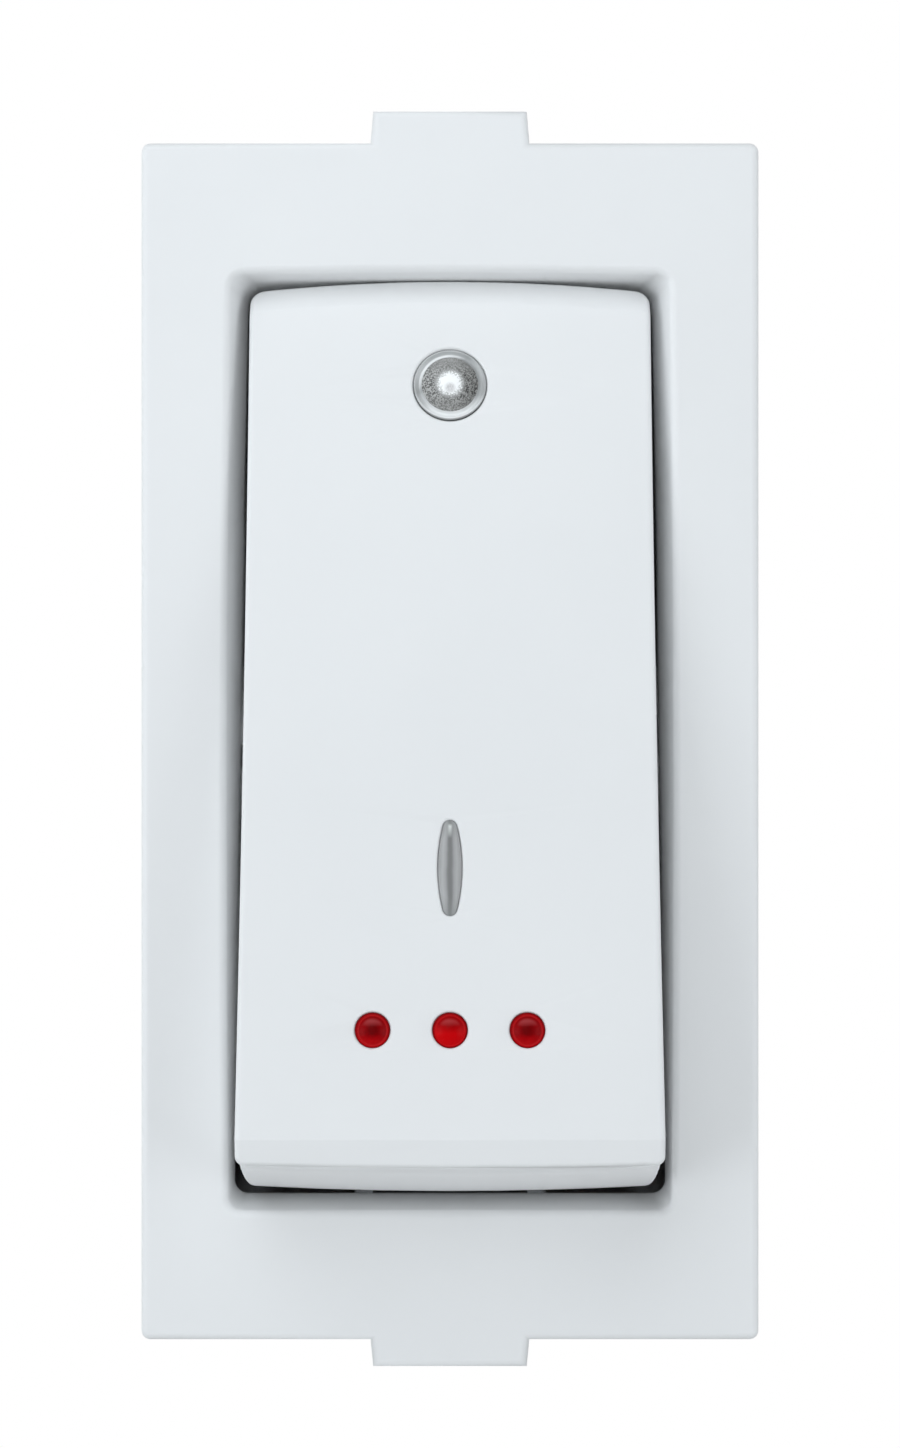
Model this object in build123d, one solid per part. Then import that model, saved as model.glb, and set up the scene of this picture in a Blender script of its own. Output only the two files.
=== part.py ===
from build123d import *
import math
import os

# A one-module wall switch with an indicator, in millimetres, drawn in its off position.
# X runs right as seen from the front, Y runs into the wall and Z runs up.
# The origin is the centre of the front plate's seating face, which lies at y = 0.

# Front plate and its two tabs
plate_width = 22.5
plate_height = 43.6
plate_thickness = 3.0
plate_corner_radius = 0.33
plate_edge_radius = 0.3
tab_root_width = 5.85
tab_tip_width = 5.6
tab_reach_top = 1.16
tab_reach_bottom = 0.98
tab_thickness = 1.6

# Rocker: sizes about its pivot, before it is tilted
pivot_depth = 1.2
rocker_tilt = 11.0
rocker_width = 14.7
face_half_length = 15.05
face_end_reach = 6.6
face_hollow = 0.5
bevel_length = 1.05
bevel_drop = 0.42
top_bow = 0.43
bottom_bow = 0.1
bottom_trim = 0.12
end_facet = 1.34
shoulder_ledge = 0.05
skirt_bow = 0.2
skirt_depth = 2.0
top_corner_radius = 0.61
bottom_corner_radius = 0.28
skirt_corner_radius = 0.22
rocker_edge_radius = 0.2
rocker_wall = 1.3
trunnion_radius = 1.5
running_clearance = 0.05
trunnion_end_gap = 0.1

# Recess round the rocker: the lip that the rocker passes, and the rim at the plate's face
side_gap_top = 0.15
side_gap_bottom = 0.68
end_gap_top = 0.11
end_gap_bottom = 0.01
skirt_gap = 0.24
lip_corner_radius = 0.5
lip_top_bow = 0.15
lip_side_bow = 0.075
recess_depth = 1.8
lip_thickness = 0.35
lip_undercut = 0.25
undercut_length = 3.7
side_slope_top = 0.53
side_slope_bottom = 0.03
end_slope_top = 0.13
end_slope_bottom = 0.23
rim_top_bow = 0.08
rim_side_bow = 0.13
rim_corner_radius = 0.5
rim_edge_radius = 0.3

# Ears and snap legs behind the plate
ear_gap = 0.4
ear_thickness = 1.3
ear_half_height = 2.8
leg_width = 4.0
leg_place = 11.0
leg_thickness = 1.1
leg_hook_start = 7.0
leg_hook_length = 1.6
leg_hook_reach = 0.75
window_clearance = 0.2

# Indicator, on mark and red marks in the rocker's face
lens_end_gap = 3.05
lens_radius = 1.33
lens_thickness = 0.7
lens_dome = 0.15
pipe_radius = 1.04
pipe_reach = 1.5
seat_clearance = 0.02
mark_place = 5.68
mark_length = 3.34
mark_width = 0.82
mark_end_width = 0.44
mark_end_bow = 0.17
mark_depth = 0.9
mark_raise = 0.04
dot_end_gap = 3.71
dot_pitch = 2.67
dot_radius = 0.59
dot_dome = 0.18
dot_bar_margin = 0.3
dot_bar_thickness = 0.8
seat_rim_radius = 0.1
cut_margin = 1.0

# Plungers and their springs in the rocker
pole_offset = 4.6
plunger_reach = 8.0
plunger_radius = 1.45
plunger_body_end = 2.0
plunger_shank_radius = 0.7
plunger_shank_length = 2.5
boss_wall = 0.6
boss_reach = 5.5
spring_room_end = 4.0
spring_radius = 1.12
spring_wire = 0.3
spring_turns = 7

# Rocking contact levers
plunger_gap = 0.3
lever_tilt = 10.0
lever_width = 2.8
lever_thickness = 0.8
lever_tail = 6.0
lever_margin = 0.2
knuckle_radius = 0.9
knuckle_drop = 0.6
contact_drop = 1.2
tip_radius = 1.3
moving_tip_thickness = 0.8
fixed_tip_thickness = 0.95
contact_clearance = 0.08

# Pivot and fixed contact strips
strip_thickness = 0.8
strip_end_margin = 0.8
strip_front_margin = 0.7
cradle_half_length = 1.6
cradle_rise = 0.2

# Terminal blocks, pressure plates and screws
block_width = 6.8
block_depth = 9.0
block_length = 8.0
pocket_clearance = 0.1
tunnel_floor = 1.2
tunnel_width = 4.6
tunnel_height = 4.6
clamp_thickness = 0.8
clamp_length = 5.0
clamp_travel = 2.4
clamp_clearance = 0.1
screw_radius = 1.7
head_radius = 2.8
head_thickness = 1.7
head_stop_gap = 0.15
slot_width = 0.8
slot_depth = 0.9
well_clearance = 0.3
well_recess = 0.75

# Housing
housing_wall = 1.2
housing_side_gap = 0.45
housing_end_gap = 0.6
housing_edge_radius = 0.5
wire_radius = 1.8
wire_chamfer = 0.4
core_count = 4
core_width = 3.0
core_rib = 0.9
core_end_wall = 1.8
core_skin = 1.5
frame_thickness = 1.8
lug_width = 6.0
lug_length = 2.2
lug_reach = 1.2
lug_slot = 0.7
lug_slot_extra = 1.5

# Lamp, its holder, leads and resistor
lamp_drop = 0.2
lamp_radius = 2.0
lamp_glass = 0.35
lamp_base_thickness = 0.8
lamp_start = 4.8
cup_wall = 0.7
cup_height = 4.7
cup_clearance = 0.1
base_thickness = 0.8
base_half_width = 2.9
base_end_margin = 0.1
barrier_thickness = 1.2
barrier_start = 8.0
barrier_tail_gap = 5.4
barrier_gap = 0.6
lead_radius = 0.2
lead_spread = 0.7
lead_bend = 0.45
lead_overlap = 0.4
lead_side_gap = 1.0
lead_run = 1.35
electrode_start = 7.4
resistor_radius = 0.8
resistor_length = 3.6
resistor_gap = 0.1
resistor_side_gap = 0.5

# Places worked out from the sizes above
rocker_half = rocker_width / 2
face_middle_reach = face_end_reach - face_hollow
shoulder_length = face_half_length + bevel_length
shoulder_reach = face_end_reach - bevel_drop
skirt_start = shoulder_reach - end_facet
skirt_length = shoulder_length + shoulder_ledge
skirt_radius = math.hypot(skirt_length, skirt_start)
lens_place = face_half_length - lens_end_gap
dot_place = face_half_length - dot_end_gap
lamp_place = lens_place - lamp_drop
contact_place = lamp_place - contact_drop
ear_inside = rocker_half + ear_gap
ear_outside = ear_inside + ear_thickness
inner_half_width = ear_outside + housing_side_gap
outer_half_width = inner_half_width + housing_wall
inner_half_height = skirt_radius + housing_end_gap
outer_half_height = inner_half_height + housing_wall
barrier_tail = inner_half_height - barrier_tail_gap
plate_front = -plate_thickness
lip_front = plate_front + recess_depth
lip_back = lip_front + lip_thickness
lever_front = pivot_depth + plunger_reach + plunger_gap
fulcrum = lever_front + lever_thickness + knuckle_drop
lever_reach = contact_place + tip_radius + lever_margin
swing = math.radians(lever_tilt)
closed_tip = (moving_tip_thickness - knuckle_drop) * math.cos(swing)
fixed_tip_front = fulcrum + closed_tip + (contact_place + tip_radius) * math.sin(swing) + contact_clearance
strip_front = fixed_tip_front + fixed_tip_thickness
floor = strip_front + strip_thickness
block_back = floor + block_depth
block_outer = inner_half_height - pocket_clearance
block_inner = block_outer - block_length
core_half_height = block_inner - core_end_wall
screw_place = (block_outer + block_inner) / 2
tunnel_front = floor + tunnel_floor
tunnel_back = tunnel_front + tunnel_height
clamp_back = tunnel_back - clamp_clearance
clamp_front = clamp_back - clamp_thickness
wire_depth = (tunnel_front + clamp_front) / 2
head_front = block_back + clamp_travel + head_stop_gap
head_back = head_front + head_thickness
housing_back = head_back + well_recess
cup_outer = lamp_radius + cup_clearance + cup_wall
lead_depth = floor - base_thickness - resistor_gap - resistor_radius
lamp_back = lead_depth - resistor_radius - resistor_gap
landing_depth = strip_front - lead_radius - seat_clearance
landing_side = pole_offset - lever_width / 2 + lead_overlap
resistor_x = -(barrier_thickness / 2 + resistor_side_gap + resistor_radius)
resistor_end = lamp_place - cup_outer - lead_bend - lead_run
resistor_start = resistor_end - resistor_length


def block(x, y, z):
    """A box between the two values of each axis."""
    size = [abs(high - low) for low, high in (x, y, z)]
    middle = [(low + high) / 2 for low, high in (x, y, z)]
    return Pos(*middle) * Box(*size)


def rod(radius, start, end):
    """A round rod between two points."""
    start = Vector(start)
    end = Vector(end)
    return Plane(start, z_dir=end - start) * Cylinder(
        radius, (end - start).length, align=(Align.CENTER, Align.CENTER, Align.MIN)
    )


def front_plane(y):
    """A drawing plane facing the viewer, with X across and Z up."""
    return Plane((0, y, 0), x_dir=(1, 0, 0), z_dir=(0, -1, 0))


def slab(outline, y_front, y_back):
    """A front outline made solid between two depths."""
    return extrude(front_plane(y_back) * outline, y_back - y_front)


def side_slab(outline, half_width):
    """A side outline, drawn with Y across and Z up, made solid to both sides of the middle."""
    return extrude(Plane.YZ * outline, half_width, both=True)


def closed(*edges):
    """The face inside a closed run of edges."""
    return make_face(Curve() + list(edges))


def cap_sphere(radius, height):
    """The radius of the sphere whose cap has this rim radius and height."""
    return (radius**2 + height**2) / (2 * height)


def tube(points, radius, bend):
    """A round wire along a bent path."""
    path = FilletPolyline(*points, radius=bend) if len(points) > 2 else Line(*points)
    return sweep(Plane(path @ 0, z_dir=path % 0) * Circle(radius), path)


def seat_on_rocker(shape):
    """Moves a piece drawn about the pivot into the rocker's off position."""
    return Pos(0, pivot_depth, 0) * Rot(-rocker_tilt, 0, 0) * shape


def seat_on_fulcrum(shape):
    """Moves a piece drawn about the lever's knuckle into its off position."""
    return Pos(0, fulcrum, 0) * Rot(lever_tilt, 0, 0) * shape


def bowed_outline(half_top, half_bottom, z_top, z_bottom, side_bow, top_bow, radius):
    """A tall outline whose long sides and top bow outwards, with rounded corners."""
    middle = (half_top + half_bottom) / 2 + side_bow
    corner = z_top - top_bow
    z_middle = (corner + z_bottom) / 2
    face = closed(
        ThreePointArc((-half_top, corner), (0, z_top), (half_top, corner)),
        ThreePointArc((half_top, corner), (middle, z_middle), (half_bottom, z_bottom)),
        Line((half_bottom, z_bottom), (-half_bottom, z_bottom)),
        ThreePointArc((-half_bottom, z_bottom), (-middle, z_middle), (-half_top, corner)),
    )
    return fillet(face.vertices(), radius)


def make_tab(reach, sign):
    """One tab, flush with the plate's face, drafted towards its tip."""
    root = plate_height / 2 - plate_edge_radius
    tip = plate_height / 2 + reach
    half_root = tab_root_width / 2
    half_tip = tab_tip_width / 2
    outline = Polyline(
        (-half_root, sign * root),
        (half_root, sign * root),
        (half_tip, sign * tip),
        (-half_tip, sign * tip),
        close=True,
    )
    return slab(make_face(outline), plate_front, plate_front + tab_thickness)


def make_recess():
    """The sloped recess, the lip that the rocker passes and the wider room behind its lower end."""
    lip_top = skirt_radius + end_gap_top
    lip_bottom = -skirt_radius - end_gap_bottom
    lip_half_top = rocker_half + side_gap_top
    lip_half_bottom = rocker_half + side_gap_bottom
    lip = bowed_outline(
        lip_half_top,
        lip_half_bottom,
        lip_top,
        lip_bottom,
        lip_side_bow,
        lip_top_bow,
        lip_corner_radius,
    )
    rim = bowed_outline(
        lip_half_top + side_slope_top,
        lip_half_bottom + side_slope_bottom,
        lip_top + end_slope_top,
        lip_bottom - end_slope_bottom,
        rim_side_bow,
        rim_top_bow,
        rim_corner_radius,
    )
    slope = loft([front_plane(lip_front) * lip, front_plane(plate_front) * rim], ruled=True)
    passage = slab(lip, lip_front, 0)
    room_half = lip_half_bottom + lip_undercut
    room_bottom = -skirt_radius - skirt_gap
    room = block(
        (-room_half, room_half), (lip_back, 0), (room_bottom, room_bottom + undercut_length)
    )
    return slope, passage + room


def make_leg(side, place):
    """One snap leg with its hook, which reaches through the housing's window."""
    inner = ear_outside - leg_thickness
    hook_end = leg_hook_start + leg_hook_length
    outline = Polyline(
        (inner, 0),
        (ear_outside, 0),
        (ear_outside, leg_hook_start),
        (ear_outside + leg_hook_reach, leg_hook_start),
        (ear_outside, hook_end),
        (inner, hook_end),
        close=True,
    )
    leg = extrude(make_face(outline), leg_width / 2, both=True)
    leg = Pos(0, 0, place) * leg
    return leg if side > 0 else mirror(leg, about=Plane.YZ)


def make_front_plate():
    """The bezel with its tabs, recess, rocker ears and snap legs."""
    outline = RectangleRounded(plate_width, plate_height, plate_corner_radius)
    plate = slab(outline, plate_front, 0)
    plate += make_tab(tab_reach_top, 1)
    plate += make_tab(tab_reach_bottom, -1)
    face = plate.faces().sort_by(Axis.Y)[0]
    plate = fillet(face.edges(), plate_edge_radius)
    slope, passage = make_recess()
    plate -= slope
    rim = plate.faces().sort_by(Axis.Y)[0].inner_wires()[0]
    plate = fillet(rim.edges(), rim_edge_radius)
    plate -= passage
    bore = trunnion_radius + running_clearance
    ear_end = pivot_depth + ear_half_height
    for side in (-1, 1):
        across = (side * ear_inside, side * ear_outside)
        ear = block(across, (0, pivot_depth), (-ear_half_height, ear_half_height))
        ear += rod(ear_half_height, (across[0], pivot_depth, 0), (across[1], pivot_depth, 0))
        ear -= block(across, (-ear_end, 0), (-ear_end, ear_end))
        plate += ear
        bore_end = side * (ear_outside + trunnion_end_gap)
        plate -= rod(bore, (side * rocker_half, pivot_depth, 0), (bore_end, pivot_depth, 0))
        for place in (-leg_place, leg_place):
            plate += make_leg(side, place)
    return plate


def face_prism(lift):
    """The side outline of the rocker's front: hollow face, straight top end and bevelled bottom end."""
    outline = closed(
        ThreePointArc(
            (-face_end_reach - lift, -face_half_length),
            (-face_middle_reach - lift, 0),
            (-face_end_reach - lift, face_half_length),
        ),
        Line((-face_end_reach - lift, face_half_length), (-face_end_reach - lift, skirt_length)),
        Line((-face_end_reach - lift, skirt_length), (-skirt_start, skirt_length)),
        Line((-skirt_start, skirt_length), (-skirt_start, -shoulder_length)),
        Line((-skirt_start, -shoulder_length), (-shoulder_reach, -shoulder_length)),
        Line((-shoulder_reach, -shoulder_length), (-face_end_reach - lift, -face_half_length)),
    )
    return side_slab(outline, rocker_half)


def top_bevel():
    """What the bevel along the rocker's bowed top end takes away: a turned wedge."""
    front = -face_end_reach - bevel_drop
    wedge = Polyline(
        (front, face_half_length - bevel_length),
        (bevel_drop - shoulder_reach, shoulder_length + bevel_length),
        (front, shoulder_length + bevel_length),
        close=True,
    )
    bow_radius = cap_sphere(rocker_half, top_bow)
    axis = Axis((0, 0, shoulder_length - bow_radius), (0, 1, 0))
    return revolve(Plane.YZ * make_face(wedge), axis)


def rocker_outline():
    """The front outline of the rocker, with bowed ends."""
    top = shoulder_length - top_bow
    bottom = bottom_trim + bottom_bow - shoulder_length
    outline = closed(
        Line((-rocker_half, bottom), (-rocker_half, top)),
        ThreePointArc((-rocker_half, top), (0, shoulder_length), (rocker_half, top)),
        Line((rocker_half, top), (rocker_half, bottom)),
        ThreePointArc((rocker_half, bottom), (0, bottom - bottom_bow), (-rocker_half, bottom)),
    )
    outline = fillet([vertex for vertex in outline.vertices() if vertex.Y > 0], top_corner_radius)
    return fillet([vertex for vertex in outline.vertices() if vertex.Y < bottom / 2], bottom_corner_radius)


def make_rocker_front():
    """The rocker in front of its skirt, with rounded front edges."""
    front = slab(rocker_outline(), -face_end_reach, -skirt_start) & face_prism(0)
    front -= top_bevel()
    rim = [edge for edge in front.edges() if edge.bounding_box().max.Y < -skirt_start - shoulder_ledge]
    return fillet(rim, rocker_edge_radius)


def skirt_drum(corner_radius):
    """A barrel about the pivot, with rounded rims."""
    corner = skirt_radius - skirt_bow
    half = closed(
        Line((-rocker_half, 0), (-rocker_half, corner)),
        ThreePointArc((-rocker_half, corner), (0, skirt_radius), (rocker_half, corner)),
        Line((rocker_half, corner), (rocker_half, 0)),
        Line((rocker_half, 0), (-rocker_half, 0)),
    )
    rims = [vertex for vertex in half.vertices() if vertex.Y > corner / 2]
    return revolve(fillet(rims, corner_radius), Axis.X)


def make_rocker_skirt():
    """The barrel-shaped skirt, which turns about the pivot inside the recess."""
    sides = (-rocker_half, rocker_half)
    depths = (-skirt_start, skirt_depth)
    upper = skirt_drum(top_corner_radius) & block(sides, depths, (0, skirt_radius))
    lower = skirt_drum(skirt_corner_radius) & block(sides, depths, (-skirt_radius, 0))
    return upper + lower


def face_reach(place):
    """How far the hollow face stands in front of the pivot at a height on the rocker."""
    return face_middle_reach + face_hollow * (place / face_half_length) ** 2


def mark_outline(clearance):
    """The spindle outline of the on mark."""
    half_end = mark_end_width / 2 + clearance
    half_middle = mark_width / 2 + clearance
    side_end = mark_length / 2 - mark_end_bow + clearance
    tip = mark_length / 2 + clearance
    return closed(
        ThreePointArc((half_end, -side_end), (half_middle, 0), (half_end, side_end)),
        ThreePointArc((half_end, side_end), (0, tip), (-half_end, side_end)),
        ThreePointArc((-half_end, side_end), (-half_middle, 0), (-half_end, -side_end)),
        ThreePointArc((-half_end, -side_end), (0, -tip), (half_end, -side_end)),
    )


def dot_places():
    """The three places across the rocker where the red marks stand."""
    return [-dot_pitch, 0, dot_pitch]


def seat_rims(body):
    """The edges where the seats of the lens and the marks open in the rocker's face."""
    return [
        edge
        for edge in body.edges()
        if edge.bounding_box().max.Y < seat_rim_radius - face_middle_reach
        and abs(edge.center().X) < rocker_half / 2
        and abs(edge.center().Z) < face_half_length - cut_margin
    ]


def make_rocker():
    """The hollow rocker with its trunnions, plunger bosses and seats for the marks."""
    body = make_rocker_skirt() + make_rocker_front()
    inner_radius = skirt_radius - rocker_wall
    ceiling = -(face_middle_reach - rocker_wall)
    cavity = rod(inner_radius, (-rocker_half + rocker_wall, 0, 0), (rocker_half - rocker_wall, 0, 0))
    cavity &= block(
        (-rocker_half, rocker_half), (ceiling, skirt_depth), (-inner_radius, inner_radius)
    )
    body -= cavity
    bore = plunger_radius + running_clearance
    between_sides = block(
        (-rocker_half, rocker_half), (ceiling, boss_reach), (-inner_radius, inner_radius)
    )
    for side in (-1, 1):
        x = side * pole_offset
        body += rod(bore + boss_wall, (x, ceiling, 0), (x, boss_reach, 0)) & between_sides
        body += rod(trunnion_radius, (side * (rocker_half - rocker_wall), 0, 0), (side * ear_outside, 0, 0))
        body -= rod(bore, (x, -spring_room_end, 0), (x, boss_reach, 0))
    lens_face = face_reach(lens_place)
    body -= rod(
        lens_radius + seat_clearance,
        (0, -lens_face - cut_margin, lens_place),
        (0, lens_thickness - lens_face, lens_place),
    )
    body -= rod(pipe_radius + seat_clearance, (0, -lens_face, lens_place), (0, 0, lens_place))
    mark_face = face_reach(mark_place)
    pocket = slab(mark_outline(seat_clearance), -mark_face - cut_margin, mark_depth - mark_face)
    body -= Pos(0, 0, -mark_place) * pocket
    hole = dot_radius + seat_clearance
    for x in dot_places():
        body -= rod(hole, (x, -face_end_reach - cut_margin, -dot_place), (x, 0, -dot_place))
    return fillet(seat_rims(body), seat_rim_radius)


def make_lens():
    """The clear cap over the light, with a low dome."""
    front = -face_reach(lens_place)
    ball = cap_sphere(lens_radius, lens_dome)
    tip = front - lens_dome
    cap = rod(lens_radius, (0, tip, lens_place), (0, front + lens_thickness, lens_place))
    return cap & (Pos(0, tip + ball, lens_place) * Sphere(ball))


def make_pipe():
    """The frosted rod that carries the lamp's light to the cap."""
    front = lens_thickness + seat_clearance - face_reach(lens_place)
    return rod(pipe_radius, (0, front, lens_place), (0, -pipe_reach, lens_place))


def make_mark():
    """The inlay that marks the on side, following the hollow face."""
    face = face_reach(mark_place)
    inlay = slab(mark_outline(0), -face - cut_margin, mark_depth - seat_clearance - face)
    return (Pos(0, 0, -mark_place) * inlay) & face_prism(mark_raise)


def make_dots():
    """The three red domes on one backing bar inside the rocker."""
    face = face_reach(dot_place)
    ceiling = rocker_wall - face_middle_reach
    half = dot_pitch + dot_radius + dot_bar_margin
    half_bar = dot_radius + dot_bar_margin
    strip = block(
        (-half, half), (ceiling, ceiling + dot_bar_thickness), (-dot_place - half_bar, half_bar - dot_place)
    )
    ball = cap_sphere(dot_radius, dot_dome)
    for x in dot_places():
        stem = rod(dot_radius, (x, -face, -dot_place), (x, ceiling, -dot_place))
        dome = rod(dot_radius, (x, -face - dot_dome, -dot_place), (x, -face, -dot_place))
        dome &= Pos(x, ball - face - dot_dome, -dot_place) * Sphere(ball)
        strip += stem + dome
    return strip


def make_plunger(side):
    """The round-nosed plunger and the shank that guides its spring."""
    x = side * pole_offset
    nose = plunger_reach - plunger_radius
    body = rod(plunger_radius, (x, plunger_body_end, 0), (x, nose, 0))
    body += Pos(x, nose, 0) * Sphere(plunger_radius)
    shank_end = plunger_body_end - plunger_shank_length
    return body + rod(plunger_shank_radius, (x, shank_end, 0), (x, plunger_body_end, 0))


def biarc(start, end, tangent_start, tangent_end):
    """Two arcs that join two points and match both directions."""
    chord = end - start
    total = tangent_start + tangent_end
    spread = 2 * (1 - tangent_start.dot(tangent_end))
    along = chord.dot(total)
    reach = (math.sqrt(along**2 + spread * chord.dot(chord)) - along) / spread
    near = start + tangent_start * reach
    far = end - tangent_end * reach
    joint = (near + far) / 2
    return [
        TangentArc(start, joint, tangent=tangent_start),
        TangentArc(joint, end, tangent=far - near),
    ]


def make_spring(side):
    """The plunger's helical spring, as one unbroken wire."""
    first = plunger_body_end - spring_wire / 2 - seat_clearance
    last = -spring_room_end + spring_wire / 2 + seat_clearance
    drop = (last - first) / spring_turns
    steps = 4 * spring_turns
    points = []
    directions = []
    for step in range(steps + 1):
        angle = math.pi / 2 * step
        points.append(
            Vector(
                side * pole_offset + spring_radius * math.cos(angle),
                first + drop * step / 4,
                spring_radius * math.sin(angle),
            )
        )
        directions.append(
            Vector(
                -spring_radius * math.sin(angle),
                drop / (2 * math.pi),
                spring_radius * math.cos(angle),
            ).normalized()
        )
    edges = []
    for step in range(steps):
        edges += biarc(points[step], points[step + 1], directions[step], directions[step + 1])
    path = Wire(edges)
    slope = math.atan(abs(drop) / (2 * math.pi * spring_radius))
    print("least gap between the spring's turns:", round(abs(drop) * math.cos(slope) - spring_wire, 3))
    return sweep(Plane(points[0], z_dir=directions[0]) * Circle(spring_wire / 2), path)


def make_lever(side):
    """The rocking lever: a flat strip with a round knuckle under it."""
    x = side * pole_offset
    across = (x - lever_width / 2, x + lever_width / 2)
    strip = block(across, (-knuckle_drop - lever_thickness, -knuckle_drop), (-lever_tail, lever_reach))
    return strip + rod(knuckle_radius, (across[0], 0, 0), (across[1], 0, 0))


def make_moving_tip(side):
    """The contact tip on the back of the lever."""
    x = side * pole_offset
    return rod(
        tip_radius,
        (x, -knuckle_drop, contact_place),
        (x, moving_tip_thickness - knuckle_drop, contact_place),
    )


def make_pivot_terminal(side):
    """The strip to the lower terminal, with the cradle that carries the lever's knuckle."""
    x = side * pole_offset
    across = (x - lever_width / 2, x + lever_width / 2)
    strip = block(across, (strip_front, floor), (strip_end_margin - block_outer, cradle_half_length))
    cradle = (-cradle_half_length, cradle_half_length)
    strip += block(across, (fulcrum + cradle_rise, strip_front), cradle)
    groove = knuckle_radius + running_clearance
    return strip - rod(groove, (across[0], fulcrum, 0), (across[1], fulcrum, 0))


def make_fixed_contact(side):
    """The strip from the upper terminal that the moving tip closes on."""
    x = side * pole_offset
    across = (x - lever_width / 2, x + lever_width / 2)
    start = contact_place - tip_radius - strip_front_margin
    return block(across, (strip_front, floor), (start, block_outer - strip_end_margin))


def make_fixed_tip(side):
    """The contact tip on the fixed strip."""
    x = side * pole_offset
    return rod(tip_radius, (x, fixed_tip_front, contact_place), (x, strip_front, contact_place))


def make_block(side, end):
    """One brass terminal block with its wire tunnel and threaded hole."""
    x = side * pole_offset
    along = (end * block_inner, end * block_outer)
    body = block((x - block_width / 2, x + block_width / 2), (floor, block_back), along)
    body -= block((x - tunnel_width / 2, x + tunnel_width / 2), (tunnel_front, tunnel_back), along)
    z = end * screw_place
    return body - rod(screw_radius + running_clearance, (x, tunnel_back, z), (x, block_back, z))


def make_clamp(side, end):
    """The plate that the screw presses down on the wire."""
    x = side * pole_offset
    half = tunnel_width / 2 - clamp_clearance
    z = end * screw_place
    along = (z - clamp_length / 2, z + clamp_length / 2)
    return block((x - half, x + half), (clamp_front, clamp_back), along)


def make_screw(side, end):
    """One slotted terminal screw, backed off."""
    x = side * pole_offset
    z = end * screw_place
    screw = rod(screw_radius, (x, clamp_back, z), (x, head_front, z))
    screw += rod(head_radius, (x, head_front, z), (x, head_back, z))
    return screw - block(
        (x - head_radius, x + head_radius),
        (head_back - slot_depth, head_back),
        (z - slot_width / 2, z + slot_width / 2),
    )


def make_frame_lug(end):
    """One wedge lug on an end wall, which holds the support frame against the plate."""
    outline = Polyline(
        (frame_thickness, outer_half_height),
        (frame_thickness, outer_half_height + lug_reach),
        (frame_thickness + lug_length, outer_half_height),
        close=True,
    )
    lug = side_slab(make_face(outline), lug_width / 2)
    return lug if end > 0 else mirror(lug, about=Plane.XY)


def make_housing():
    """The rear body: contact chamber, terminal pockets, screw wells and wire entries."""
    body = block(
        (-outer_half_width, outer_half_width), (0, housing_back), (-outer_half_height, outer_half_height)
    )
    body = fillet(body.edges().filter_by(Axis.Y), housing_edge_radius)
    body = fillet(body.faces().sort_by(Axis.Y)[-1].edges(), housing_edge_radius)
    chamber = (-inner_half_height, inner_half_height)
    body -= block((-inner_half_width, inner_half_width), (0, floor), chamber)
    pocket_half = block_width / 2 + pocket_clearance
    pocket_start = block_inner - pocket_clearance
    window_half = leg_width / 2 + window_clearance
    window_end = leg_hook_start + leg_hook_length + window_clearance
    slot_end = frame_thickness + lug_length + lug_slot_extra
    for end in (-1, 1):
        body += make_frame_lug(end)
        for side in (-1, 1):
            x = side * pole_offset
            z = end * screw_place
            inside = end * inner_half_height
            outside = end * outer_half_height
            across = (x - pocket_half, x + pocket_half)
            body -= block(across, (floor, block_back), (end * pocket_start, inside))
            body -= rod(head_radius + well_clearance, (x, block_back, z), (x, housing_back, z))
            body -= rod(wire_radius, (x, wire_depth, inside), (x, wire_depth, outside))
            mouth = Plane((x, wire_depth, outside - end * wire_chamfer), z_dir=(0, 0, end))
            body -= mouth * Cone(
                wire_radius,
                wire_radius + wire_chamfer,
                wire_chamfer,
                align=(Align.CENTER, Align.CENTER, Align.MIN),
            )
            body -= block(
                (side * inner_half_width, side * outer_half_width),
                (leg_hook_start - window_clearance, window_end),
                (end * leg_place - window_half, end * leg_place + window_half),
            )
            slot_inner = lug_width / 2
            across = (side * slot_inner, side * (slot_inner + lug_slot))
            body -= block(across, (0, slot_end), (inside, outside))
    pitch = core_width + core_rib
    for place in range(core_count):
        x = (place - (core_count - 1) / 2) * pitch
        body -= block(
            (x - core_width / 2, x + core_width / 2),
            (floor + core_skin, housing_back),
            (-core_half_height, core_half_height),
        )
    return body


def make_lamp_holder():
    """The insulating wall between the poles, with the lamp's cup and a base on the floor."""
    holder = block(
        (-base_half_width, base_half_width),
        (floor - base_thickness, floor),
        (-barrier_tail, lamp_place + cup_outer + base_end_margin),
    )
    holder += block(
        (-barrier_thickness / 2, barrier_thickness / 2),
        (barrier_start, floor),
        (-barrier_tail, lamp_place - cup_outer - barrier_gap),
    )
    base_front = floor - base_thickness
    cup_front = base_front - cup_height
    holder += rod(cup_outer, (0, cup_front, lamp_place), (0, base_front, lamp_place))
    holder -= rod(lamp_radius + cup_clearance, (0, cup_front, lamp_place), (0, base_front, lamp_place))
    room = lamp_radius + cup_clearance
    holder -= block((-room, room), (lamp_back, base_front), (lamp_place - cup_outer, lamp_place))
    holder -= block((0, cup_outer), (lamp_back, base_front), (lamp_place, lamp_place + lamp_radius))
    return holder


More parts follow.
